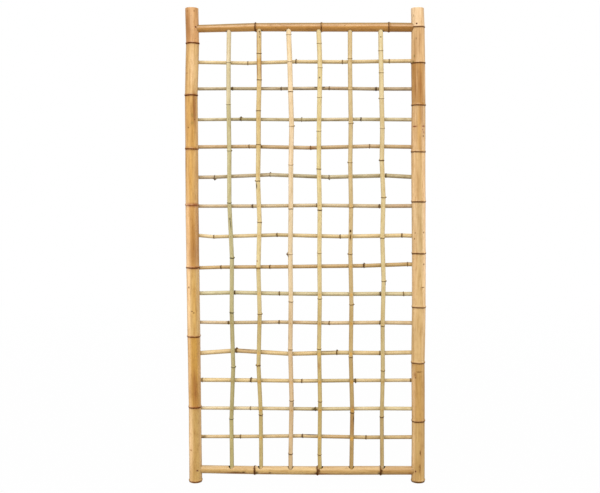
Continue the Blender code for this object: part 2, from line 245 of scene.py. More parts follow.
@dataclass(frozen=True)
class Course:
    """Centre line, bare radius and bamboo nodes of a culm, read from its solid.

    Rows run from the culm's first end to its last.  across is sideways for a standing culm and
    the height for a lying one.  pressed nodes lie on a crossing and swell only away from it.
    """

    along: np.ndarray
    across: np.ndarray
    depth: np.ndarray
    bare: np.ndarray
    nodes: tuple[float, ...]
    pressed: tuple[bool, ...]

    STEP = 1 * MM
    DRILLED = 0.004   # a section this share narrower than usual runs through a drilled hole

    @classmethod
    def read(cls, name: str, build: Build) -> "Course":
        """Measure a culm's solid in cuts across it.

        Args:
            name: name of its node in the frame.
            build: how that kind of culm is shaped.

        Returns:
            The culm's course.
        """
        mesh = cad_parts[name].data
        points = np.empty(len(mesh.vertices) * 3)
        mesh.vertices.foreach_get("co", points)
        points = points.reshape(-1, 3)
        ends = np.empty(len(mesh.edges) * 2, int)
        mesh.edges.foreach_get("vertices", ends)
        first, second = points[ends[::2]], points[ends[1::2]]
        axis, side = (2, 0) if build.standing else (0, 2)
        low, high = points[:, axis].min(), points[:, axis].max()
        along = np.linspace(low, high, int((high - low) / cls.STEP) + 1)
        inside = np.clip(along, low + cls.STEP / 4, high - cls.STEP / 4)
        spans = np.array([cls.extent(first, second, axis, place) for place in inside])
        half = (spans[:, 1] - spans[:, 0]) / 2
        middle = (spans[:, 1] + spans[:, 0]) / 2
        shape = half[:, side] / half[:, 1]
        sound = shape > np.median(shape) - cls.DRILLED
        across = np.interp(along, along[sound], middle[sound, side])
        radius = half.max(axis=1, where=np.isin(np.arange(3), (side, 1)), initial=0.0)
        depth = middle[:, 1]
        nodes = cls.swellings(along, radius, build)
        clear = np.all([abs(along - node) > build.flare + cls.STEP for node in nodes], axis=0)
        bare = np.interp(along, along[clear], radius[clear])
        calm = np.interp(along, along[clear], depth[clear])
        pressed = tuple(abs(np.interp(node, along, depth - calm)) > build.ridge / 3
                        for node in nodes)
        return cls(along, across, calm, bare, tuple(nodes), pressed)

    @staticmethod
    def extent(first: np.ndarray, second: np.ndarray, axis: int, place: float) -> np.ndarray:
        """Lowest and highest corner of a solid's section at a place along an axis.

        Args:
            first: first end of each of the solid's edges.
            second: second end of each edge.
            axis: number of the axis.
            place: where the section lies.

        Returns:
            The two corners of the section's box, one row each.
        """
        cut = (first[:, axis] <= place) != (second[:, axis] <= place)
        low, high = first[cut], second[cut]
        share = (place - low[:, axis]) / (high[:, axis] - low[:, axis])
        crossing = low + share[:, None] * (high - low)
        return np.array([crossing.min(axis=0), crossing.max(axis=0)])

    @classmethod
    def swellings(cls, along: np.ndarray, radius: np.ndarray, build: Build) -> list[float]:
        """Find the bamboo nodes, where the measured radius rises to a ridge.

        Args:
            along: places of the sections.
            radius: radius of each section.
            build: how that kind of culm is shaped.

        Returns:
            Place of each bamboo node.
        """
        reach = round(build.flare / cls.STEP) + 1
        nodes = []
        for i, value in enumerate(radius):
            window = radius[max(0, i - reach):i + reach + 1]
            beside = [radius[j] for j in (i - reach, i + reach) if 0 <= j < len(radius)]
            if value == window.max() and value - max(beside) > build.ridge / 2:
                nodes.append(along[i])
        return nodes

    def at(self, place: float | np.ndarray) -> tuple:
        """Sideways place or height, depth and bare radius at a place along the culm."""
        return tuple(np.interp(place, self.along, row)
                     for row in (self.across, self.depth, self.bare))


class MaterialNodes:
    """A new material with its Principled shader, and short ways to add the common nodes."""

    def __init__(self, name: str) -> None:
        """Start the material."""
        self.material = bpy.data.materials.new(name)
        self.material.use_nodes = True
        self.tree = self.material.node_tree
        self.shader = self.tree.nodes["Principled BSDF"]

    def add(self, kind: str, inputs: dict | None = None, output: int | str = 0,
            **settings: object) -> NodeSocket:
        """Add a node to the material's tree and return one of its outputs."""
        return add_node(self.tree, kind, settings, inputs).outputs[output]

    def place(self) -> NodeSocket:
        """Object coordinates."""
        return self.add("TexCoord", output="Object")

    def noise(self, place: NodeSocket, scale: float, detail: float,
              roughness: float = 0.5) -> NodeSocket:
        """Noise from 0 to 1."""
        return self.add("TexNoise", {"Vector": place, "Scale": scale, "Detail": detail,
                                     "Roughness": roughness})

    def remap(self, value: NodeSocket, low: float = 0.0, high: float = 1.0,
              first: float | NodeSocket = 0.0, last: float = 1.0) -> NodeSocket:
        """A value carried over from low and high to first and last."""
        return self.add("MapRange", {"Value": value, "From Min": low, "From Max": high,
                                     "To Min": first, "To Max": last})

    def scaled(self, value: NodeSocket, factor: float | NodeSocket,
               added: float | NodeSocket = 0.0, clamp: bool = False) -> NodeSocket:
        """A value times a factor, with something added."""
        return self.add("Math", {0: value, 1: factor, 2: added}, operation="MULTIPLY_ADD",
                        use_clamp=clamp)

    def mix(self, share: NodeSocket, below: object, above: object,
            blend: str = "MIX") -> NodeSocket:
        """One colour laid over another by a share."""
        return self.add("Mix", {"Factor": share, "A": below, "B": above}, "Result",
                        data_type="RGBA", blend_type=blend)

    def bump(self, strength: float, distance: float, height: NodeSocket) -> NodeSocket:
        """Normals of a relief."""
        return self.add("Bump", {"Strength": strength, "Distance": distance, "Height": height})

    def feed(self, inputs: dict) -> Material:
        """Set or link the shader's own inputs, and return the material."""
        set_inputs(self.tree, self.shader, inputs)
        return self.material


@dataclass(frozen=True)
class Grain:
    """A noise stretched along the culm: its size, and the levels where it starts and is full."""

    across: float
    along: float
    detail: float
    low: float
    high: float


@dataclass(frozen=True)
class BambooSkin:
    """Skin of dried bamboo: a hard waxy rind over fine lengthwise fibres.

    It gives a satin gloss, red-brown streaks along the culm, broader bands where the rind has
    aged unevenly, weathered blotches and small dark specks.  The tone comes from each culm's
    paint, and aged is how much of each colour is left where the rind has browned.
    """

    name: str
    bleed: str
    scar: str
    aged: str = "#DACBAE"
    bands: float = 0.7
    streaks: float = 0.16
    mottle: float = 0.5
    specks: float = 0.6
    roughness: float = 0.36
    gloss: float = 0.4

    FIBRES = Grain(1.1 * MM, 70 * MM, 3.0, 0.3, 0.7)   # real ones are 0.3 mm, too fine to show
    STREAKS = Grain(3.2 * MM, 70 * MM, 2.0, 0.45, 0.7)
    BANDS = Grain(8 * MM, 110 * MM, 2.0, 0.42, 0.68)
    BLOTCHES = Grain(9 * MM, 22 * MM, 4.0, 0.52, 0.72)
    SPECKS = Grain(2.2 * MM, 4.5 * MM, 1.0, 0.71, 0.76)
    CRUMBS = Grain(2.4 * MM, 7 * MM, 2.0, 0.35, 0.65)  # crumbling edges of scars and mould
    NOISE_ROUGHNESS = 0.55
    FIBRE_TINT = (0.62, 0.52, 0.40, 1.0)
    FIBRE_SHARE = 0.3
    SCAR_GAIN = 1.5
    CRUMBLE = -0.5
    BLOTCH_DULLS = 0.15
    SCAR_DULLS = 0.25
    DULL_TONE = 0.03          # skin as dark as this has no gloss left
    GLOSSY_TONE = 0.25
    RELIEF = 0.12 * MM
    RELIEF_STRENGTH = 0.6

    def pattern(self, nodes: MaterialNodes, place: NodeSocket, grain: Grain) -> NodeSocket:
        """Noise stretched along the culm, from 0 below its low level to 1 above its high one."""
        size = (1 / grain.across, 1 / grain.across, 1 / grain.along)
        scaled = nodes.add("VectorMath", {0: place, 1: size}, operation="MULTIPLY")
        noise = nodes.noise(scaled, 1.0, grain.detail, self.NOISE_ROUGHNESS)
        return nodes.remap(noise, grain.low, grain.high)

    def material(self) -> Material:
        """Build the material, from the painted tone up to the scars.

        Returns:
            The material, which reads the culm's paint attributes.
        """
        nodes = MaterialNodes(self.name)
        place, tone, scars = [
            nodes.add("Attribute", output=output, attribute_name=name)
            for name, output in (("culm", "Vector"), ("tone", "Color"), ("scars", "Fac"))]
        fibres, streaks, bands, blotches, specks, crumbs = [
            self.pattern(nodes, place, grain)
            for grain in (self.FIBRES, self.STREAKS, self.BANDS, self.BLOTCHES, self.SPECKS,
                          self.CRUMBS)]
        aged, bleed, scar = linear(self.aged), linear(self.bleed), linear(self.scar)
        colour = tone
        for share, strength, above, blend in (
                (bands, self.bands, aged, "MULTIPLY"),
                (blotches, self.mottle, aged, "MULTIPLY"),
                (streaks, self.streaks, bleed, "MIX"),
                (fibres, self.FIBRE_SHARE, self.FIBRE_TINT, "MULTIPLY"),
                (specks, self.specks, scar, "MIX")):
            colour = nodes.mix(nodes.scaled(share, strength), colour, above, blend)
        worn = nodes.scaled(crumbs, self.CRUMBLE, nodes.scaled(scars, self.SCAR_GAIN), clamp=True)
        dull = nodes.scaled(blotches, self.BLOTCH_DULLS, self.roughness)
        sheen = nodes.remap(tone, self.DULL_TONE, self.GLOSSY_TONE, last=self.gloss)
        nodes.feed({"Specular IOR Level": self.gloss})
        return nodes.feed({
            "Base Color": nodes.mix(worn, colour, scar),
            "Roughness": nodes.scaled(worn, self.SCAR_DULLS, dull),
            "Specular IOR Level": nodes.remap(worn, first=sheen, last=0.0),
            "Normal": nodes.bump(self.RELIEF_STRENGTH, self.RELIEF, fibres)})


@dataclass(frozen=True)
class CutBamboo:
    """Sawn or drilled bamboo wall: pale fibrous wood with the dark ends of its vessels."""

    name: str
    wood: str = "#DDBE8A"
    vessel: str = "#7C5A32"
    shaded: str = "#B8935C"
    roughness: float = 0.75
    gloss: float = 0.4

    VESSEL_SPACING = 1.3 * MM   # real vessels are 0.5 mm apart, drawn coarser so that they show
    VESSEL_EDGE = (0.36, 0.22)  # in spacings from a vessel's middle: its rim, and full dark
    SHADE_SIZE = 6 * MM
    SHADE_DETAIL = 3.0
    RELIEF = 0.1 * MM
    RELIEF_STRENGTH = 0.5

    def material(self) -> Material:
        """Build the material on Object coordinates.

        Returns:
            The material, with round dots for the vessels.
        """
        nodes = MaterialNodes(self.name)
        place = nodes.place()
        cells = nodes.add("TexVoronoi", {"Vector": place, "Scale": 1 / self.VESSEL_SPACING},
                          "Distance")
        shade = nodes.noise(place, 1 / self.SHADE_SIZE, self.SHADE_DETAIL)
        wood = nodes.mix(shade, linear(self.wood), linear(self.shaded))
        dots = nodes.remap(cells, *self.VESSEL_EDGE)
        return nodes.feed({
            "Base Color": nodes.mix(dots, wood, linear(self.vessel)),
            "Roughness": self.roughness, "Specular IOR Level": self.gloss,
            "Normal": nodes.bump(self.RELIEF_STRENGTH, self.RELIEF, cells)})


@dataclass(frozen=True)
class WeatheredSteel:
    """Drawn wire steel left outdoors: dull grey metal going over to brown rust in patches."""

    name: str
    steel: str = "#6E655A"
    rust: str = "#4C3220"
    patch: float = 1.6 * MM
    bare: float = 0.38    # noise level under which no rust lies

    PATCH_DETAIL = 4.0
    PATCH_EDGE = 0.17     # noise from there to full rust
    METAL = 0.9
    ROUGHNESS = (0.45, 0.35)    # of the bare metal, and what rust adds
    RELIEF = 0.08 * MM
    RELIEF_STRENGTH = 0.6

    def material(self) -> Material:
        """Build the material on Object coordinates.

        Returns:
            The material, which isn't metallic where rust lies.
        """
        nodes = MaterialNodes(self.name)
        noise = nodes.noise(nodes.place(), 1 / self.patch, self.PATCH_DETAIL)
        rust = nodes.remap(noise, self.bare, self.bare + self.PATCH_EDGE)
        smooth, added = self.ROUGHNESS
        return nodes.feed({
            "Base Color": nodes.mix(rust, linear(self.steel), linear(self.rust)),
            "Metallic": nodes.scaled(rust, -self.METAL, self.METAL),
            "Roughness": nodes.scaled(rust, added, smooth),
            "Normal": nodes.bump(self.RELIEF_STRENGTH, self.RELIEF, noise)})


POST_SKIN = BambooSkin("sun_dried_bamboo_pole_skin", "#8E4A10", "#58290A")
PALE_SKIN = BambooSkin("pale_bamboo_pole_skin", "#8A5C2C", "#5A3414")
RAIL_SKIN = BambooSkin("smoked_bamboo_rail_skin", "#82501C", "#48280E", aged="#D6C4A2",
                       bands=0.55, specks=0.7, roughness=0.32)
CANE_SKIN = BambooSkin("dried_river_cane_skin", "#8E6628", "#4C320E", aged="#DED0AE",
                       bands=0.5, streaks=0.12, roughness=0.38)
GREEN_SKIN = BambooSkin("young_green_cane_skin", "#766A3E", "#343018", aged="#D4CCA6",
                        bands=0.5, streaks=0.12, roughness=0.38)
GREY_SKIN = BambooSkin("weathered_grey_cane_skin", "#664A20", "#38260E", aged="#C2B290",
                       bands=0.6, streaks=0.2, mottle=0.6, specks=0.8, roughness=0.50, gloss=0.3)
CUT_END = CutBamboo("sawn_bamboo_end")
# near black: painted shade in the gaps round the ends that sit in drilled holes
DRILLED_WALL = CutBamboo("weathered_drilled_wall", wood="#2C1808", vessel="#120A04",
                         shaded="#1C0F05", roughness=0.9, gloss=0.0)
INNER_WALL = CutBamboo("papery_bamboo_inner_wall", wood="#CDB284", vessel="#B3935E",
                       roughness=0.85)
NAIL_STEEL = WeatheredSteel("rusted_nail_steel", steel="#574636", rust="#6E3C1C", bare=0.22)
PIN_STEEL = WeatheredSteel("rusted_pin_steel", steel="#5C5248", rust="#5A3820", patch=0.8 * MM)
FINISHES = (POST_SKIN, PALE_SKIN, RAIL_SKIN, CANE_SKIN, GREEN_SKIN, GREY_SKIN, CUT_END,
            DRILLED_WALL, INNER_WALL, NAIL_STEEL, PIN_STEEL)


def show(name: str, mesh: Mesh, replaces: str | None = None) -> Object:
    """Put a finished mesh in the scene, riding on the trellis's one body.

    Args:
        name: name of the piece.
        mesh: its mesh, in place.
        replaces: name of the solid that it stands for.

    Returns:
        The new object.
    """
    piece = placed(name, mesh)
    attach(piece, "root")
    if replaces:
        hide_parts(replaces)
    log.info("%s: %d faces", name, len(mesh.polygons))
    return piece


def turn_from(around: np.ndarray, degrees: float) -> np.ndarray:
    """Angle from a direction round a culm, between minus and plus half a turn."""
    return (around - math.radians(degrees) + math.pi) % math.tau - math.pi


def lay(tone: np.ndarray, code: str, share: np.ndarray) -> None:
    """Lay a colour over painted tones, in place, by each vertex's share."""
    tone += (np.array(linear(code)[:3]) - tone) * share[:, None]


@dataclass
class Culm:
    """One length of bamboo with its own paint, knots, buds and marks.

    tones are hex colours spread evenly from the foot or the left end to the other, and each
    internode takes the one at its middle; as many tones as internodes give each its own.
    knots has the first letter of each bamboo node's Knot.  buds and marks are rows for Bud and
    Mark.  tint is how amber the skin has turned where other canes touch it.
    """

    node: str
    slot: str
    build: Build
    skin: BambooSkin
    tones: str
    knots: str
    buds: tuple[tuple, ...] = ()
    marks: tuple[tuple, ...] = ()
    tint: float = 0.0

    BUD_SIZE = 3.0 * MM       # height and reach
    BUD_RISE = 1.2 * MM       # of its middle above the node
    BUD_STAIN = (0.8, 1.5)    # strength, and the squared distance where it ends
    MARK_EDGE = 1.5           # how crisp a mark's edge is
    SMALL_MARK = 23           # millimetres; the mesh has finer rings at marks shorter than this
    NEAR = 2 * MM             # fine rings beyond a node's flare
    FINEST = 0.4 * MM
    TILT = 0.9 * MM
    SLOPES = (0.48, 0.30)     # of a ridge above and below its crest, in flares
    GROOVE = (0.35, 2 * MM, 1.2 * MM)     # depth in ridges, distance below the crest, width
    PRESSED = 1.6             # how fast a pressed ridge grows away from the cane it lies on
    WAVES = (2, 3, 5)
    WAVE_RUNS = (140, 260)    # millimetres
    UNLIKE = 0.03             # random share by which internodes differ in tone
    WAVER = (3, 0.5 * MM)     # waves round a node's line, and their height
    LINE_DROP = 0.3           # of the line below the crest, in its own widths
    BLACK_SCAR = 0.4
    RING = (0.7, 1.6)         # strength and width of the stained ring beside a line
    TINT_SHARES = (1.15, 0.8)     # of tint at a standing cane's foot, and lost up to its top
    TINT_SIZE = (7, 7)        # millimetres, along and across, as of the darkening around crossings
    # painted contact shade around each crossing on the lying canes, partly an olive tint
    CROSSING_DARK_SIZE = (24, 12)
    CROSSING_DARK_SHARE = 0.17
    # Working layer, its field and width, and the attribute that it becomes
    PAINTS = (("tone_paint", "vector", 3, "tone", "FLOAT_COLOR", "color"),
              ("culm_place", "vector", 3, "culm", "FLOAT_VECTOR", "vector"),
              ("scar_paint", "value", 1, "scars", "FLOAT", "value"))

    def __post_init__(self) -> None:
        """Read the culm's course, and start its buds, marks and own random numbers."""
        self.course = Course.read(self.node, self.build)
        self.random = random.Random(zlib.crc32(self.node.encode()))
        self.buds = tuple(Bud(*row) for row in self.buds)
        self.marks = tuple(Mark(*row) for row in self.marks)
        if len(self.knots) != len(self.course.nodes):
            raise ValueError(f"{self.node} has {len(self.course.nodes)} bamboo nodes")

    def tint_crossings(self, canes: list["Culm"]) -> None:
        """Add an amber mark where each cane crosses behind, stronger towards the foot.

        Args:
            canes: the cross canes.
        """
        most, lost = self.TINT_SHARES
        for cane in canes:
            side = self.course.at(cane.course.across.mean())[0]
            height = cane.course.at(side)[0]
            share = self.tint * (most - lost * height / self.course.along[-1])
            self.marks += (Mark(height / MM, 0, *self.TINT_SIZE, AMBER, share),)

    def darken_around_crossings(self, canes: list["Culm"]) -> None:
        """Add a faint olive darkening around each place where an upright crosses in front of a
        lying cane: painted contact shade, partly an olive tint of the skin.

        Args:
            canes: the upright canes.
        """
        for cane in canes:
            side = cane.course.at(self.course.across.mean())[0]
            self.marks += (Mark(side / MM, 0, *self.CROSSING_DARK_SIZE, OLIVE, self.CROSSING_DARK_SHARE),)

    def rings(self) -> np.ndarray:
        """Space the mesh's rings: even between the nodes, finer at them and at small marks.

        Returns:
            Place of each ring along the culm.
        """
        first, last = self.course.along[0], self.course.along[-1]
        even = np.linspace(first, last, round((last - first) / self.build.pitch) + 1)
        near = self.build.flare + self.NEAR
        spots = [(node, near) for node in self.course.nodes]
        spots += [(mark.along * MM, (mark.length + 1) * MM) for mark in self.marks
                  if mark.length < self.SMALL_MARK]
        apart = [all(abs(place - spot) > reach for spot, reach in spots) for place in even]
        pitch = self.build.fine_pitch
        places = [even[apart], np.array([first, last])]
        places += [np.arange(spot - reach, spot + reach + pitch / 2, pitch)
                   for spot, reach in spots]
        steps = np.concatenate(places).clip(first, last)
        return np.unique((steps / self.FINEST).round()) * self.FINEST

    def swelling(self, along: np.ndarray, around: np.ndarray) -> np.ndarray:
        """Raise the node ridges, their scar grooves and the bud stubs above the bare skin.

        Args:
            along: place of each vertex along the culm.
            around: angle of each vertex around it.

        Returns:
            Height of each vertex.
        """
        build = self.build
        height = np.zeros_like(along)
        for i, (node, pressed) in enumerate(zip(self.course.nodes, self.course.pressed), 1):
            tilt = self.random.uniform(-self.TILT, self.TILT)
            turn = self.random.uniform(0, math.tau)
            away = along - node - tilt * np.cos(around - turn)
            slope = build.flare * np.where(away > 0, *self.SLOPES)
            ridge = build.ridge * np.exp(-(away / slope) ** 2)
            depth, drop, width = self.GROOVE
            groove = depth * build.ridge * np.exp(-((away + drop) / width) ** 2)
            facing = np.cos(around) * (1 if build.standing else -1)
            kept = np.clip(1 + self.PRESSED * facing, 0, 1) if pressed else 1.0
            height += (ridge - groove) * kept
            for bud in self.buds:
                if bud.node == i:
                    radius = self.course.at(node)[2]
                    height += self.BUD_SIZE * bud.size * np.exp(
                        -self.bud_spread(bud, along, around, radius))
        return height

    def bud_spread(self, bud: Bud, along: np.ndarray, around: np.ndarray,
                   radius: float | np.ndarray) -> np.ndarray:
        """Squared distance from a bud stub, which leans up the culm from its node."""
        reach = self.BUD_SIZE * bud.size
        away = along - self.course.nodes[bud.node - 1] - self.BUD_RISE
        return (away / reach) ** 2 + (turn_from(around, bud.around) * radius / reach) ** 2

    def unevenness(self, along: np.ndarray, around: np.ndarray) -> np.ndarray:
        """Add slow waves that keep the culm from being a perfect tube.

        Args:
            along: place of each vertex along the culm.
            around: angle of each vertex around it.

        Returns:
            Height of each vertex.
        """
        waves = np.zeros_like(along)
        for lobes in self.WAVES:
            phase = self.random.uniform(0, math.tau)
            run = self.random.uniform(*self.WAVE_RUNS) * MM
            waves += np.sin(lobes * around + phase + math.tau * along / run) / lobes
        return self.build.uneven * waves

    def ground(self, along: np.ndarray) -> np.ndarray:
        """Give each vertex the tone of its internode, before any stain.

        Args:
            along: place of each vertex along the culm.

        Returns:
            Linear colours, one row each.
        """
        edges = [self.course.along[0], *self.course.nodes, self.course.along[-1]]
        palette = np.array([linear(code)[:3] for code in self.tones.split()])
        shades = []
        for k, (low, high) in enumerate(zip(edges, edges[1:])):
            share = ((low + high) / 2 - edges[0]) / (edges[-1] - edges[0])
            place = k if len(palette) == len(edges) - 1 else share * (len(palette) - 1)
            shade = [np.interp(place, range(len(palette)), palette[:, c]) for c in range(3)]
            shades.append(np.array(shade) * self.random.uniform(1 - self.UNLIKE, 1 + self.UNLIKE))
        return np.array(shades)[np.searchsorted(self.course.nodes, along)]

    def painted(self, along: np.ndarray, around: np.ndarray) -> tuple[np.ndarray, np.ndarray]:
        """Paint the skin's tone and the strength of its scars.

        Args:
            along: place of each vertex along the culm.
            around: angle of each vertex around it.

        Returns:
            Linear colours, one row each, and scar strengths from 0 to 1.
        """
        tone = self.ground(along)
        scars = np.zeros_like(along)
        radius = self.course.at(along)[2]
        for node, letter in zip(self.course.nodes, self.knots):
            strength, breadth = KNOTS[letter].value
            reach = self.build.scar * breadth
            lobes, swing = self.WAVER
            wave = swing * np.sin(lobes * around + self.random.uniform(0, math.tau))
            away = along - node + wave
            line = strength * np.exp(-((away + reach * self.LINE_DROP) / reach) ** 2)
            if KNOTS[letter] is Knot.BLACK:
                lay(tone, UMBER.value, line)
                scars = np.maximum(scars, self.BLACK_SCAR * line)
                continue
            share, width = self.RING
            lay(tone, self.skin.bleed, share * strength * np.exp(-(away / (reach * width)) ** 2))
            scars = np.maximum(scars, line)
        for bud in self.buds:
            spread = self.bud_spread(bud, along, around, radius)
            strength, end = self.BUD_STAIN
            lay(tone, UMBER.value, strength * np.exp(-(spread / end) ** 2))
        # marks lay stains, mould and scars, and some rows lay painted highlights and painted shade
        for mark in self.marks:
            spread = (turn_from(around, mark.around) * radius / (mark.width * MM)) ** 2
            spread = spread + ((along - mark.along * MM) / (mark.length * MM)) ** 2
            share = mark.strength * np.exp(-spread ** self.MARK_EDGE)
            if mark.stain_and_shading is SCAR:
                scars = np.maximum(scars, share)
            else:
                lay(tone, mark.stain_and_shading.value, share)
        return np.clip(tone, 0, 1), scars

    def tube(self) -> BMesh:
        """Tube of the culm: a straight one is cut into rings, then laid along the course.

        Returns:
            The mesh, open at both ends, with its paint in vertex layers.
        """
        rings = self.rings()
        work = bmesh.new()
        bmesh.ops.create_cone(work, cap_ends=False, segments=self.build.sides,
                              radius1=1.0, radius2=1.0, depth=1.0)
        lengthwise = [edge for edge in work.edges
                      if abs(edge.verts[0].co.z - edge.verts[1].co.z) > 0.5]
        bmesh.ops.subdivide_edges(work, edges=lengthwise, cuts=len(rings) - 2,
                                  use_grid_fill=True)
        unit = np.array([vert.co for vert in work.verts])
        along = rings[((unit[:, 2] + 0.5) * (len(rings) - 1)).round().astype(int)]
        around = np.arctan2(unit[:, 1], unit[:, 0])
        across, depth, bare = self.course.at(along)
        radius = bare + self.swelling(along, around) + self.unevenness(along, around)
        across = across + radius * np.sin(around)
        depth = depth - radius * np.cos(around)
        rows = (across, depth, along) if self.build.standing else (along, depth, across)
        places = np.stack(rows, axis=1)
        flat = np.stack([bare * np.cos(around), bare * np.sin(around), along], axis=1)
        tone, scars = self.painted(along, around)
        layers = work.verts.layers
        tone_layer = layers.float_vector.new("tone_paint")
        scar_layer = layers.float.new("scar_paint")
        flat_layer = layers.float_vector.new("culm_place")
        for i, vert in enumerate(work.verts):
            vert.co = places[i]
            vert[tone_layer] = Vector(tone[i])
            vert[scar_layer] = scars[i]
            vert[flat_layer] = Vector(flat[i])
        return work

    def end_edges(self, work: BMesh, last: bool) -> list[BMEdge]:
        """Open edges at the culm's first or last end."""
        axis = 2 if self.build.standing else 0
        middle = (self.course.along[0] + self.course.along[-1]) / 2
        return [edge for edge in work.edges
                if edge.is_boundary and (edge.verts[0].co[axis] > middle) == last]

    def finish_ends(self, work: BMesh) -> None:
        """Close both ends with flat faces."""
        for last in (False, True):
            faces = bmesh.ops.contextual_create(work, geom=self.end_edges(work, last))["faces"]
            for face in faces:
                face.material_index = 1

    def to_mesh(self, work: BMesh) -> Mesh:
        """Turn the working mesh into the piece's mesh.

        Its paint moves from the vertices to the face corners, where a drilled hole keeps it whole.

        Args:
            work: the culm's working mesh, which is freed.

        Returns:
            The mesh, shaded smooth.
        """
        bmesh.ops.recalc_face_normals(work, faces=work.faces)
        mesh = meshed(work, self.node)
        corner = np.empty(len(mesh.loops), int)
        mesh.loops.foreach_get("vertex_index", corner)
        for source, field, width, name, kind, target in self.PAINTS:
            layer = mesh.attributes[source]
            values = np.empty(len(mesh.vertices) * width)
            layer.data.foreach_get(field, values)
            values = values.reshape(-1, width)[corner]
            if kind == "FLOAT_COLOR":
                values = np.hstack([values, np.ones((len(values), 1))])
            mesh.attributes.remove(layer)
            mesh.attributes.new(name, kind, "CORNER").data.foreach_set(target, values.ravel())
        return smoothed(mesh)

    def make(self, materials: Materials) -> Object:
        """Build the culm and show it in place of its solid.

        Args:
            materials: finished materials by name.

        Returns:
            The piece.
        """
        work = self.tube()
        self.finish_ends(work)
        mesh = self.to_mesh(work)
        mesh.materials.append(materials[self.skin.name])
        mesh.materials.append(materials[CUT_END.name])
        return show(f"{self.node}_culm", mesh, self.node)


@dataclass
class Post(Culm):
    """A post: hollow and open at its sawn top, closed by a node just above its sawn foot."""

    WALL = 5.5 * MM
    PARTITION = 4.0 * MM
    SAWN_EDGE = 0.7 * MM      # rounded in EDGE_STEPS steps
    EDGE_STEPS = 2

    def finish_ends(self, work: BMesh) -> None:
        """Close the foot, and turn the top inwards and down to the first partition.

        Args:
            work: the post's working mesh.
        """
        foot = self.end_edges(work, last=False)
        top = self.end_edges(work, last=True)
        faces = bmesh.ops.contextual_create(work, geom=foot)["faces"]
        across, depth, radius = self.course.at(self.course.along[-1])
        centre = Vector((across, depth, self.course.along[-1]))
        inward = (radius - self.WALL) / radius
        mouth, rim_faces = self.extruded(work, top)
        bmesh.ops.scale(work, verts=mouth, vec=(inward, inward, 1.0),
                        space=Matrix.Translation(-centre))
        down = self.course.nodes[-1] + self.PARTITION - self.course.along[-1]
        mouth_edges = [edge for edge in work.edges if edge.is_boundary]
        floor, wall_faces = self.extruded(work, mouth_edges)
        bmesh.ops.translate(work, verts=floor, vec=(0.0, 0.0, down))
        floor_edges = [edge for edge in work.edges if edge.is_boundary]
        closed = bmesh.ops.contextual_create(work, geom=floor_edges)["faces"]
        for face in list(faces) + rim_faces:
            face.material_index = 1
        for face in list(closed) + wall_faces:
            face.material_index = 2
        bmesh.ops.bevel(work, geom=foot + top + mouth_edges, offset=self.SAWN_EDGE,
                        segments=self.EDGE_STEPS, profile=0.5, affect="EDGES", material=-1)

    @staticmethod
    def extruded(work: BMesh, edges: list) -> tuple[list, list]:
        """Extrude a loop of edges and return its new vertices and faces."""
        made = bmesh.ops.extrude_edge_only(work, edges=edges)["geom"]
        return ([item for item in made if isinstance(item, BMVert)],
                [item for item in made if isinstance(item, BMFace)])

    def make(self, materials: Materials) -> Object:
        """Build the post and add the material of its inner wall."""
        piece = super().make(materials)
        piece.data.materials.append(materials[INNER_WALL.name])
        return piece


# Rows for Mark, in the order in which they are painted
# The PEACH rows along the post's edges, 42° or more to either side, and the two at 8° near its top
# are painted highlights; the other rows are its node rings, stains and scars
LEFT_POST_MARKS = (
    (0, 0, 6, 80, MOULD, 0.6), (285, 0, 6, 80, RUSSET, 0.3), (553, 0, 6, 80, BROWN, 0.4),
    (814, 0, 7, 80, RUSSET, 0.45), (1052, 0, 8, 80, RUSSET, 0.8), (1265, 0, 8, 80, BROWN, 0.5),
    (1469, 0, 6, 80, BROWN, 0.4), (800, -46, 290, 12, PEACH, 0.85),
    (420, -50, 120, 10, PEACH, 0.45), (150, -42, 160, 11, PEACH, 0.65),
    (900, 76, 900, 8, PEACH, 0.35), (935, 10, 112, 8, AMBER, 0.25), (930, 6, 110, 8, BROWN, 0.3),
    (684, 16, 125, 9, AMBER, 0.3), (1158, -2, 105, 7, AMBER, 0.3), (1366, 22, 95, 9, AMBER, 0.2),
    (684, 70, 125, 7, PEACH, 0.4), (930, 50, 110, 8, BROWN, 0.3), (1734, -40, 70, 18, BROWN, 0.7),
    (1736, -80, 60, 6, PEACH, 0.4), (1740, 8, 60, 9, PEACH, 0.35), (1570, 8, 90, 9, PEACH, 0.45),
    (1570, -70, 95, 13, BROWN, 0.4), (1360, -72, 100, 10, BROWN, 0.4),
    (1160, -72, 100, 10, BROWN, 0.45), (1786, -36, 3, 3, BROWN), (1786, 28, 3, 3, BROWN),
    (1741, -58, 4, 3, SCAR, 0.6), (1551, -40, 3, 3, BROWN), (1510, -70, 4, 3, SCAR, 0.6),
    (1366, 72, 95, 7, PEACH, 0.4), (1366, -56, 95, 8, PEACH, 0.3), (935, 76, 112, 7, BROWN, 0.6),
    (420, 62, 120, 8, PEACH, 0.4), (150, 62, 130, 8, PEACH, 0.45), (150, 2, 130, 7, BROWN, 0.15),
    (1420, 36, 65, 9, BROWN, 0.8), (1392, 13, 8, 5, OLIVE, 0.45), (1362, 13, 7, 5, OLIVE, 0.45),
    (1375, 38, 4, 3, SCAR, 0.7), (1345, -22, 3, 3, SCAR, 0.8), (865, 14, 55, 16, BROWN, 0.45),
    (740, -34, 4, 3, SCAR, 0.9), (650, -6, 3, 4, SCAR, 0.8), (644, 9, 3, 3, SCAR, 0.8),
    (370, 6, 60, 9, BROWN, 0.6), (325, 20, 55, 11, BROWN, 0.5), (124, -37, 3, 5, BROWN),
)
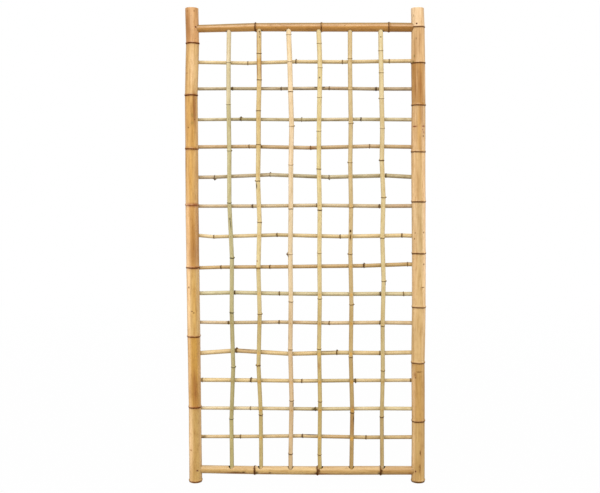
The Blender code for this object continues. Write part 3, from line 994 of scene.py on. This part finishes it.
# The broad PEACH rows along the post's edges, 46° or more to either side, are painted highlights;
# the other rows are its node rings, stains, streaks and scars
RIGHT_POST_MARKS = (
    (0, 0, 7, 80, MOULD, 0.7), (930, 58, 360, 11, PEACH, 0.8), (1515, 64, 80, 8, PEACH, 0.7),
    (1000, -50, 420, 12, PEACH, 0.45), (1000, 8, 330, 6, OLIVE, 0.18),
    (1640, -30, 60, 10, BROWN, 0.35), (1658, 6, 62, 5, BROWN, 0.4), (1660, 74, 64, 7, PEACH, 0.4),
    (1660, -74, 64, 7, PEACH, 0.35), (1500, -32, 72, 4, BROWN, 0.5), (1505, 8, 70, 5, BROWN, 0.65),
    (1512, -18, 66, 3, PEACH, 0.3), (1395, 15, 50, 9, BROWN, 0.4),
    (1342, -46, 86, 10, PEACH, 0.35), (1160, 61, 90, 8, PEACH, 0.5),
    (1342, -2, 86, 7, AMBER, 0.35), (1080, -7, 170, 5, BROWN, 0.2), (766, -64, 95, 9, PEACH, 0.4),
    (342, -54, 105, 9, PEACH, 0.55), (120, -54, 115, 9, PEACH, 0.45),
    (120, 22, 100, 5, BROWN, 0.3), (1768, -45, 7, 3, SCAR, 0.5), (1682, -22, 4, 3, SCAR, 0.65),
    (1616, -40, 5, 3, OLIVE), (1595, -52, 4, 6, OLIVE, 0.9), (1349, -40, 3, 10, RUSSET, 1.0),
    (1350, 38, 3.5, 7, RUSSET, 1.0), (1338, 30, 3, 3, RUSSET, 0.9), (1328, 42, 5, 3, RUSSET, 1.0),
    (1313, 36, 4, 3, SCAR, 0.9), (948, 38, 4, 3, SCAR, 0.9), (946, -38, 3, 3, SCAR, 0.8),
    (924, -45, 3, 3, SCAR, 0.8), (827, 39, 4, 3, SCAR, 0.9), (740, 28, 2, 10, SCAR, 0.7),
    (421, 5, 3, 14, SCAR, 0.6), (409, -37, 10, 5, BROWN, 0.7), (398, -30, 3, 3, SCAR, 0.8),
    (115, 11, 11, 2, SCAR, 1.0), (56, 9, 22, 2, SCAR, 0.9), (38, -55, 3, 5, SCAR, 0.8),
)
# The first five rows run the whole rail at fixed angles and are painted light: the pale bands at
# 64° and 13° are painted highlights, and the olive and brown bands at 54° and 35° are painted
# shade; the rest are scars
TOP_RAIL_MARKS = (
    (0, 64, 900, 9, BLEACHED, 0.45), (0, 54, 900, 7, OLIVE, 0.5), (0, 13, 900, 4, PEACH, 0.35),
    (0, 35, 900, 4.5, OLIVE, 0.2), (0, 35, 900, 4.5, BROWN, 0.22),
) + tuple((place, around, 3, 2, SCAR, 0.5)
          for place, around in ((-130, 20), (-112, -15), (-96, 30), (-80, 5), (-66, -25),
                                (150, 10), (238, -20)))
BOTTOM_RAIL_MARKS = (
    # The pale band at 76° along the whole rail is a painted highlight on its top; the other rows
    # are its own stains, mould and scars
    (-372, 68, 34, 4, OLIVE, 0.6), (398, -36, 7, 7, BROWN), (0, 76, 900, 8, BLEACHED, 0.6),
    (-262, -24, 26, 4, MOULD, 0.85), (-234, -20, 7, 4, MOULD, 0.95),
    (-268, -42, 60, 6, BROWN, 0.8), (-186, -22, 9, 6, MOULD), (-192, 10, 4, 9, SCAR),
    (-150, -38, 24, 5, BROWN), (-134, -20, 6, 3, MOULD), (46, -24, 12, 5, MOULD, 0.9),
    (52, 14, 5, 8, SCAR), (60, -40, 34, 6, BROWN), (284, -22, 10, 5, MOULD, 0.9),
    (289, 14, 5, 8, SCAR),
)


def posts() -> list[Post]:
    """Describe the posts, with tones and knots from the foot up.

    Returns:
        The left and the right post.
    """
    return [Post("left_post", "left_post_bamboo", POST, POST_SKIN,
                 "#B98648 #C6A260 #C59645 #D4AF6E #CF9F5D #DAAD68 #D6A75F #E4BC7E #E6B278",
                 "FMPMFPMM", marks=LEFT_POST_MARKS),
            Post("right_post", "right_post_bamboo", POST, PALE_SKIN,
                 "#B08448 #C6A265 #C39A59 #D2B079 #DBB982 #DCBC88 #E0BA82 #D6AF7A #C49353 "
                 "#E6BE89 #F7D4A7", "FMPPMMPPPP", marks=RIGHT_POST_MARKS)]


def rails() -> list[Culm]:
    """Describe the rails, with tones and knots from the left.

    Returns:
        The top and the bottom rail.
    """
    return [Culm("top_rail", "top_rail_bamboo", RAIL, RAIL_SKIN,
                 "#C08E4A #BE8A44 #C08C46 #AE7A38", "DPP", marks=TOP_RAIL_MARKS),
            Culm("bottom_rail", "bottom_rail_bamboo", RAIL, RAIL_SKIN,
                 "#C2A065 #C4A46A #C19E64 #B0894F", "DDP", marks=BOTTOM_RAIL_MARKS)]


def uprights() -> list[Culm]:
    """Describe the upright canes, with tones, knots and buds from the foot up.

    Returns:
        The six canes, left to right.
    """
    left, right = -80.0, 80.0
    rows = (
        ("greenish_straw_cane", GREEN_SKIN, 0.12, "#B8AB74 #AFA373 #BDB385 #CBC091 #EDDBB8",
         "PPDDPFFF", ((2, right), (4, right), (6, right)),
         ((980, 8, 20, 2, MOULD, 0.8), (999, 0, 4, 3, MOULD, 0.7), (52, 10, 5, 7, PEACH, 0.6),
          (1714, 0, 5, 7, PEACH, 0.5))),
        ("straw_cane", CANE_SKIN, 0.5, "#B9A670 #C1AD74 #DFCC98 #DCC389 #DEC28C", "DDPBPPPPPP",
         ((2, left), (3, right), (6, left)),
         ((1709, 15, 4, 2.4, SCAR, 1.0), (1700, 25, 5, 2, SCAR), (1689, 20, 3.5, 2.4, SCAR, 1.0),
          (1124, -40, 13, 3, MOULD, 1.0), (1577, -58, 46, 5, BROWN, 0.8),
          (1577, 60, 46, 5, BROWN, 0.8), (1597, 0, 14, 8, AMBER, 0.45),
          (1666, -64, 34, 4, BROWN, 0.7), (839, -40, 4, 4, BROWN), (52, 10, 5, 7, PEACH, 0.65),
          (1704, -22, 14, 6, BLEACHED, 0.6))),
        ("peach_cane", CANE_SKIN, 0.25, "#CBAF86 #D2B790 #E2CDA7 #F0D6B0 #F9E2BA", "DPPPFPFFPFF",
         ((5, left, 2.1), (8, right)),
         ((295, 50, 12, 2.5, SCAR, 0.9), (857, -72, 5, 3, MOULD, 1.0))),
        ("yellow_cane", CANE_SKIN, 0.6, "#BAA46A #C3AE74 #DDCA96 #E0CF97 #EDD9A6", "PPPPFDPFFFF",
         (), ((1535, -10, 3.5, 3, MOULD, 1.0), (441, -20, 18, 5, BROWN, 0.5),
              (50, 0, 5, 8, AMBER, 0.4))),
        ("khaki_cane", CANE_SKIN, 0.65, "#AC8C56 #BBA069 #CBB17F #CFB989 #DEC696", "DPPPPFFFF",
         ((3, right), (4, left), (5, right), (6, left), (7, right)),
         ((953, -12, 6, 4, SCAR, 1.0), (931, -8, 14, 4, SCAR, 0.8), (281, 20, 9, 6, BROWN, 0.5),
          (240, 45, 26, 4, SCAR, 0.6), (218, 0, 40, 9, BROWN, 0.4), (50, 0, 5, 8, AMBER, 0.4))),
        ("cream_cane", CANE_SKIN, 0.2, "#B29866 #C2AF7D #D8C592 #DAC594 #EBDAAC", "DPPPPPDFFFF",
         ((4, right), (6, right), (7, left), (9, left)),
         ((1689, 0, 3, 2.6, SCAR, 1.0), (752, 60, 6, 2.5, SCAR, 0.8),
          (56, 0, 6, 7, BLEACHED, 0.6))),
    )
    return [Culm(f"upright_cane_{i}", slot, UPRIGHT, skin, tones, knots, buds, marks, tint)
            for i, (slot, skin, tint, tones, knots, buds, marks) in enumerate(rows, 1)]


def cross_canes() -> list[Culm]:
    """Describe the cross canes, with tones, knots and buds from the left.

    Returns:
        The fourteen canes, top to bottom.
    """
    top, under = 80.0, -80.0
    rows = (
        ("straw_cane", CANE_SKIN, "#DCC696 #D6BE8C #D9C08E", "PDPP", ((2, top),), ()),
        ("weathered_brown_cane", GREY_SKIN, "#C1B08D #C5B292 #BBA482", "BDPB", ((1, 0.0),),
         ((40, 45, 7, 5, MOULD, 1.0), (70, 45, 6, 5, MOULD, 1.0), (-76, 20, 12, 5, MOULD, 0.5),
          (-150, 50, 24, 2.5, MOULD, 0.5), (-20, -40, 22, 2.5, MOULD, 0.5),
          (-228, 0, 60, 12, OLIVE, 0.3), (112, 0, 60, 12, BROWN, 0.25))),
        ("olive_grey_cane", GREY_SKIN, "#CBBD97 #CBBD95 #D3C59F", "BFD", ((1, top, 1.5), (2, top)),
         ((-220, 0, 50, 12, OLIVE, 0.6), (0, 0, 55, 12, OLIVE, 0.3),
          (115, 0, 55, 12, BLEACHED, 0.4), (120, -30, 22, 3, OLIVE, 0.5))),
        ("tan_cane", CANE_SKIN, "#C0A176 #BB9E70 #C5A77A", "PPP", (),
         ((0, 0, 55, 12, BLEACHED, 0.3), (232, 0, 55, 12, BLEACHED, 0.35), (25, 0, 15, 6, BROWN),
          (-167, 0, 4, 4, SCAR))),
        ("olive_grey_cane", GREY_SKIN, "#BDA887 #C6B895 #BCAD87", "PFPP",
         ((1, under, 1.7), (2, top), (3, under)),
         ((-290, 30, 20, 3, OLIVE, 0.6), (0, 0, 55, 12, OLIVE, 0.3), (200, 0, 26, 3, OLIVE, 0.5))),
        ("tan_cane", CANE_SKIN, "#C5AE89 #C9B48D #C9B593", "BPB", (),
         ((-60, -20, 20, 2.5, BROWN, 0.5), (355, 0, 60, 12, BROWN, 0.35))),
        ("straw_cane", CANE_SKIN, "#DBC494 #D1B987 #DFC795", "MDDD", (),
         ((-112, 0, 60, 12, OLIVE, 0.25),)),
        ("orange_brown_cane", CANE_SKIN, "#C4A46F #BA9A69 #C0A26B", "DDPBP", ((4, top, 1.3),), ()),
        ("grey_straw_cane", CANE_SKIN, "#C8BE94 #C8BA90 #CCBE94", "BDPPBP", (), ()),
        ("tan_cane", CANE_SKIN, "#C9B28E #C6AE85 #CFB68D", "BDDD", (),
         ((-30, 30, 18, 2.5, BROWN, 0.5), (-223, 0, 50, 12, OLIVE, 0.25))),
        ("straw_cane", CANE_SKIN, "#D4BB8A #D2B782 #D0B98A", "BDDM",
         ((1, top, 1.5), (3, top, 1.3)),
         ((-222, 50, 36, 3, MOULD, 0.7), (90, 52, 28, 2.5, MOULD, 0.7),
          (-225, 0, 60, 12, BROWN, 0.25), (112, 0, 60, 12, OLIVE, 0.25))),
        ("straw_cane", CANE_SKIN, "#D6BE8A #CEB684 #CEB88C", "MBDBP", ((2, top, 1.3), (4, under)),
         ((112, 0, 65, 12, OLIVE, 0.35),)),
        ("grey_straw_cane", CANE_SKIN, "#D5C29A #CFBC92 #D1C094", "MBP", ((2, 0.0, 1.3),),
         ((33, 0, 9, 6, MOULD, 0.9), (0, 0, 60, 12, OLIVE, 0.35), (118, 0, 50, 12, OLIVE, 0.25))),
        ("tan_cane", CANE_SKIN, "#D0B688 #C5AC7C #BFA372", "DBD", (),
         ((-386, 0, 12, 8, SCAR, 0.6), (20, 70, 30, 4, SCAR, 0.8), (-256, -30, 12, 4, OLIVE, 0.8),
          (260, 0, 140, 12, OLIVE, 0.15), (125, 0, 80, 12, BROWN, 0.3))),
    )
    return [Culm(f"cross_cane_{i:02d}", slot, CROSS, skin, tones, knots, buds, marks)
            for i, (slot, skin, tones, knots, buds, marks) in enumerate(rows, 1)]


@dataclass
class Drill:
    """Bores the round holes that the canes' and rails' ends sit in."""

    play: float = 0.9 * MM
    slack: float = 1.9 * MM
    leans: tuple[float, float] = (1.6 * MM, 2.4 * MM)   # in the top and the bottom rail
    set_back: float = 2.2 * MM      # of the top rail's holes behind their canes
    set_forward: float = 0.6 * MM   # of the bottom rail's holes before theirs
    overrun: float = 12 * MM
    sides: int = 36

    def bore(self, piece: Object, holes: Holes, wall: Material) -> None:
        """Cut holes in a piece and keep its paint.

        Args:
            piece: the culm to drill.
            holes: the holes.
            wall: material of their walls.
        """
        piece.data.materials.append(wall)
        work = bmesh.new()
        for inner, outer, radius in holes:
            turn = (outer - inner).to_track_quat("Z", "Y").to_matrix().to_4x4()
            turn.translation = (inner + outer) / 2
            bmesh.ops.create_cone(work, cap_ends=True, segments=self.sides, radius1=radius,
                                  radius2=radius, depth=(outer - inner).length, matrix=turn)
        for face in work.faces:
            face.material_index = len(piece.data.materials) - 1
        bits = meshed(work, "drill_bits")
        for material in piece.data.materials:
            bits.materials.append(material)
        tool = placed("drill_bits", bits)
        cut = piece.modifiers.new("drilled", "BOOLEAN")
        cut.operation = "DIFFERENCE"
        cut.solver = "EXACT"
        cut.object = tool
        bpy.context.view_layer.update()
        evaluated = piece.evaluated_get(bpy.context.evaluated_depsgraph_get())
        drilled = bpy.data.meshes.new_from_object(evaluated)
        piece.modifiers.clear()
        piece.data = smoothed(drilled)
        bpy.data.objects.remove(tool)
        log.info("%s: %d holes", piece.name, len(holes))

    def hole(self, host: Culm, guest: Culm, last: bool, shift: float = 0.0, back: float = 0.0,
             slack: float = 0.0) -> tuple[Vector, Vector, float]:
        """Place the hole in one culm for the end of another.

        Args:
            host: culm that is drilled.
            guest: culm whose end it holds.
            last: whether that is the guest's right or upper end.
            shift: how far the hole lies to the right of a standing guest.
            back: how far the hole lies behind the guest.
            slack: room round the guest.

        Returns:
            Inner end, outer end and radius of the hole.
        """
        end = guest.course.along[-1 if last else 0]
        inward = 1 if last else -1
        across, depth, radius = guest.course.at(end)
        middle, _, reach = host.course.at(across)
        mouth = middle - inward * (reach + self.overrun)
        across_out, depth_out, radius_out = guest.course.at(mouth)
        inner = (across + shift, depth + back, end + inward * self.play)
        outer = (across_out + shift, depth_out + back, mouth)
        if guest.build.standing:
            return Vector(inner), Vector(outer), radius + self.play + slack
        return Vector(inner[::-1]), Vector(outer[::-1]), max(radius, radius_out) + self.play

    def post_holes(self, post: Culm, guests: list[Culm], left: bool) -> Holes:
        """Holes in a post for the ends of the rails and cross canes on its inner side."""
        return [self.hole(post, guest, not left) for guest in guests]

    def rail_holes(self, rail: Culm, canes: list[Culm], leans: str, top: bool) -> Holes:
        """Holes in a rail for the ends of the upright canes, with the letters of their leans."""
        back, lean = (self.set_back, self.leans[0]) if top else (-self.set_forward, self.leans[1])
        return [self.hole(rail, cane, top, LEANS[letter].value * lean, back, self.slack)
                for cane, letter in zip(canes, leans)]


@dataclass
class Nails:
    """The four round-headed nails that pin the rails, each in place of its solid."""

    shank: float = 1.4 * MM
    head: float = 3.2 * MM
    thickness: float = 1.2 * MM
    rim: float = 0.45       # thickness of the head's edge, as a share of its middle's
    under: float = 0.97     # radius of the head's flat side, in heads
    length: float = 28 * MM
    point: float = 4 * MM
    sides: int = 28
    dome_steps: int = 7
    crown: float = 0.99     # share of the head's thickness where the solid's crown starts
    names: tuple[str, ...] = ("nail_top_left", "nail_top_right", "nail_bottom_left",
                              "nail_bottom_right")

    def profile(self) -> list[tuple[float, float]]:
        """Outline a nail from the middle of its head to its point.

        Returns:
            Points as across and along.
        """
        dome = [(self.head * math.sin(a),
                 self.thickness * (self.rim + (1 - self.rim) * math.cos(a)))
                for a in np.linspace(0, math.pi / 2, self.dome_steps)]
        return dome + [(self.head * self.under, 0.0), (self.shank, 0.0),
                       (self.shank, self.point - self.length), (0.0, -self.length)]

    def seat(self, name: str) -> Matrix:
        """Read a nail's place from its solid.

        Args:
            name: name of its node in the frame.

        Returns:
            Its place: Z points out of the wood, and the origin is under the head.
        """
        points = np.array([vert.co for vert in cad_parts[name].data.vertices])
        tip = points[points[:, 1].argmax()]
        crown_reach = self.length + self.thickness * self.crown
        crown = points[((points - tip) ** 2).sum(axis=1) > crown_reach ** 2]
        out = (Vector(crown.mean(axis=0)) - Vector(tip)).normalized()
        place = out.to_track_quat("Z", "Y").to_matrix().to_4x4()
        place.translation = Vector(tip) + out * self.length
        return place

    def make(self, materials: Materials) -> None:
        """Turn each nail and show it in place of its solid.

        Args:
            materials: finished materials by name.
        """
        for name in self.names:
            mesh = turned(name, self.profile(), [self.seat(name)], self.sides)
            mesh.materials.append(materials[NAIL_STEEL.name])
            show(f"{name}_head_and_shank", mesh, name)


def turned(name: str, profile: list[tuple[float, float]], places: list[Matrix],
           sides: int) -> Mesh:
    """Spin a profile round the Z axis of each place.

    Args:
        name: name of the mesh.
        profile: points as across and along, from one end of the axis to the other.
        places: where the turned shapes go.
        sides: faces round each shape.

    Returns:
        One mesh with all the shapes.
    """
    work = bmesh.new()
    for place in places:
        corners = [work.verts.new(place @ Vector((across, 0.0, along)))
                   for across, along in profile]
        edges = [work.edges.new(pair) for pair in zip(corners, corners[1:])]
        bmesh.ops.spin(work, geom=corners + edges, cent=place.translation,
                       axis=place.col[2].xyz, angle=math.tau, steps=sides, use_merge=True)
    bmesh.ops.remove_doubles(work, verts=work.verts, dist=SAME_POINT)
    bmesh.ops.recalc_face_normals(work, faces=work.faces)
    return smoothed(meshed(work, name))


@dataclass
class CrossingPins:
    """Thin pins, one at each crossing, driven from behind until their tips just show in front."""

    shank: float = 0.8 * MM
    head: float = 1.7 * MM
    head_profile: tuple = ((0.0, 0.4), (0.7, 0.28), (1.0, 0.0))   # across and along, in heads
    proud: float = 0.25 * MM
    sides: int = 8

    def make(self, canes: list[Culm], crossings: list[Culm], materials: Materials) -> None:
        """Turn all the pins as one piece.

        Args:
            canes: the upright canes.
            crossings: the cross canes.
            materials: finished materials by name.
        """
        places, lengths = [], []
        for cane in canes:
            for crossing in crossings:
                side = cane.course.at(crossing.course.across.mean())[0]
                height, back, thick = crossing.course.at(side)
                side, front, thin = cane.course.at(height)
                turn = Vector((0, 1, 0)).to_track_quat("Z", "Y").to_matrix().to_4x4()
                turn.translation = Vector((side, back + thick, height))
                places.append(turn)
                lengths.append(back + thick - (front - thin) + self.proud)
        length = float(np.mean(lengths))
        profile = [(across * self.head, along * self.head) for across, along in self.head_profile]
        profile += [(self.shank, 0.0), (self.shank, -length), (0.0, -length - self.proud)]
        mesh = turned("crossing_pins", profile, places, self.sides)
        mesh.materials.append(materials[PIN_STEEL.name])
        show("crossing_pins", mesh)


def hung(name: str, kind: str, power: float, place: Vector, facing: Vector) -> Object:
    """Hang a lamp that faces a direction.

    Args:
        name: name of the lamp.
        kind: Blender's kind of light.
        power: watts, or the strength of a sun.
        place: where it hangs.
        facing: direction in which it shines.

    Returns:
        The lamp.
    """
    data = bpy.data.lights.new(name, kind)
    data.energy = power
    lamp = placed(name, data)
    lamp.location = place
    lamp.rotation_mode = "QUATERNION"
    lamp.rotation_quaternion = facing.to_track_quat("-Z", "Y")
    return lamp


@dataclass(frozen=True)
class SoftBox:
    """Rectangular lamp that faces the trellis; sizes in metres, power in watts."""

    name: str
    place: tuple[float, float, float]
    aim: tuple[float, float, float]
    width: float
    height: float
    power: float

    def make(self) -> None:
        """Hang the lamp, out of the camera's sight."""
        place = Vector(self.place)
        lamp = hung(self.name, "AREA", self.power, place, Vector(self.aim) - place)
        lamp.data.shape = "RECTANGLE"
        lamp.data.size = self.width
        lamp.data.size_y = self.height
        lamp.visible_camera = False


@dataclass
class Studio:
    """Pale floor, soft light and the camera at the photograph's angle.

    A broad light from above and in front is even from top to foot, and a soft box on each side
    brightens the posts' outer edges.
    """

    floor_size: float = 30.0
    floor_grey: tuple[float, ...] = (0.5, 0.5, 0.5, 1.0)
    floor_roughness: float = 0.9
    floor_glow: tuple[float, float] = (0.985, 1.0)
    glow_reach: tuple[float, float] = (1.5, 6.0)
    fill: float = 0.42
    sky_strength: float = 3.05
    sky_spread: float = 60.0
    sky_place: tuple[float, float, float] = (-0.12, -0.65, 0.75)
    boxes: tuple[SoftBox, ...] = (
        SoftBox("soft_box_left", (-2.0, -0.8, 0.7), (-0.43, 0.0, 0.7), 0.8, 1.5, 8.0),
        SoftBox("soft_box_right", (4.0, -0.9, 1.0), (0.0, 0.0, 1.0), 2.0, 2.0, 45.0),
    )

    def make(self) -> None:
        """Add the floor, the lights and the camera."""
        self.add_floor()
        self.add_world()
        sky = Vector(self.sky_place)
        lamp = hung("overhead_diffuser", "SUN", self.sky_strength, sky * EYE_DISTANCE, -sky)
        lamp.data.angle = math.radians(self.sky_spread)
        for box in self.boxes:
            box.make()
        self.add_camera()
        bpy.context.scene.view_settings.view_transform = "Standard"

    def add_floor(self) -> None:
        """Plain white floor that keeps a soft shadow near the trellis and fades to white."""
        work = bmesh.new()
        bmesh.ops.create_grid(work, x_segments=1, y_segments=1, size=self.floor_size)
        floor = placed("studio_floor", meshed(work, "studio_floor"))
        nodes = MaterialNodes("matt_white_floor_paint")
        paint = nodes.feed({"Base Color": self.floor_grey, "Roughness": self.floor_roughness,
                            "Specular IOR Level": 0.0})
        away = nodes.add("VectorMath", {0: nodes.place()}, "Value", operation="LENGTH")
        share = nodes.remap(away, *self.glow_reach, *self.floor_glow)
        seen = nodes.add("LightPath", output="Is Camera Ray")
        both = nodes.add("MixShader", {0: nodes.scaled(seen, share), 1: nodes.shader.outputs[0],
                                       2: nodes.add("Emission", {"Strength": 1.0})})
        set_inputs(nodes.tree, nodes.tree.nodes["Material Output"], {"Surface": both})
        floor.data.materials.append(paint)

    def add_world(self) -> None:
        """Even surroundings, at full white where the camera sees them."""
        world = bpy.data.worlds.new("white_studio")
        world.use_nodes = True
        bpy.context.scene.world = world
        tree = world.node_tree
        path = add_node(tree, "LightPath")
        strength = add_node(tree, "MapRange", inputs={
            "Value": path.outputs["Is Camera Ray"], "To Min": self.fill, "To Max": 1.0})
        set_inputs(tree, tree.nodes["Background"], {
            "Color": (1.0, 1.0, 1.0, 1.0), "Strength": strength.outputs[0]})

    def add_camera(self) -> None:
        """Level camera, shifted so that the horizon and the middle fall as in the photo."""
        data = bpy.data.cameras.new("photo_camera")
        data.sensor_width = SENSOR
        data.lens = EYE_DISTANCE / (MM_PER_PIXEL * MM) * SENSOR / PHOTO_WIDTH
        data.shift_x = (PHOTO_CENTRE[0] - MIDDLE_PIXEL[0]) / PHOTO_WIDTH
        data.shift_y = (MIDDLE_PIXEL[1] - PHOTO_CENTRE[1]) / PHOTO_WIDTH
        camera = placed("photo_camera", data)
        camera.location = (0.0, -EYE_DISTANCE, EYE_HEIGHT)
        camera.rotation_euler = (math.pi / 2, 0.0, 0.0)
        bpy.context.scene.camera = camera


def main() -> None:
    """Build every piece of the trellis, then the studio."""
    materials = {finish.name: finish.material() for finish in FINISHES}
    post_pair, rail_pair = posts(), rails()
    standing, lying = uprights(), cross_canes()
    for cane in standing:
        cane.tint_crossings(lying)
    for cane in lying:
        cane.darken_around_crossings(standing)
    pieces = {culm.node: culm.make(materials)
              for culm in [*post_pair, *rail_pair, *standing, *lying]}
    drill = Drill()
    wall = materials[DRILLED_WALL.name]
    for post, left in zip(post_pair, (True, False)):
        drill.bore(pieces[post.node], drill.post_holes(post, rail_pair + lying, left), wall)
    for rail, leans, top in zip(rail_pair, (TOP_LEANS, BOTTOM_LEANS), (True, False)):
        drill.bore(pieces[rail.node], drill.rail_holes(rail, standing, leans, top), wall)
    Nails().make(materials)
    CrossingPins().make(standing, lying, materials)
    Studio().make()


if __name__ == "__main__":
    logging.basicConfig(level=logging.INFO, format="%(name)s: %(message)s")
    main()
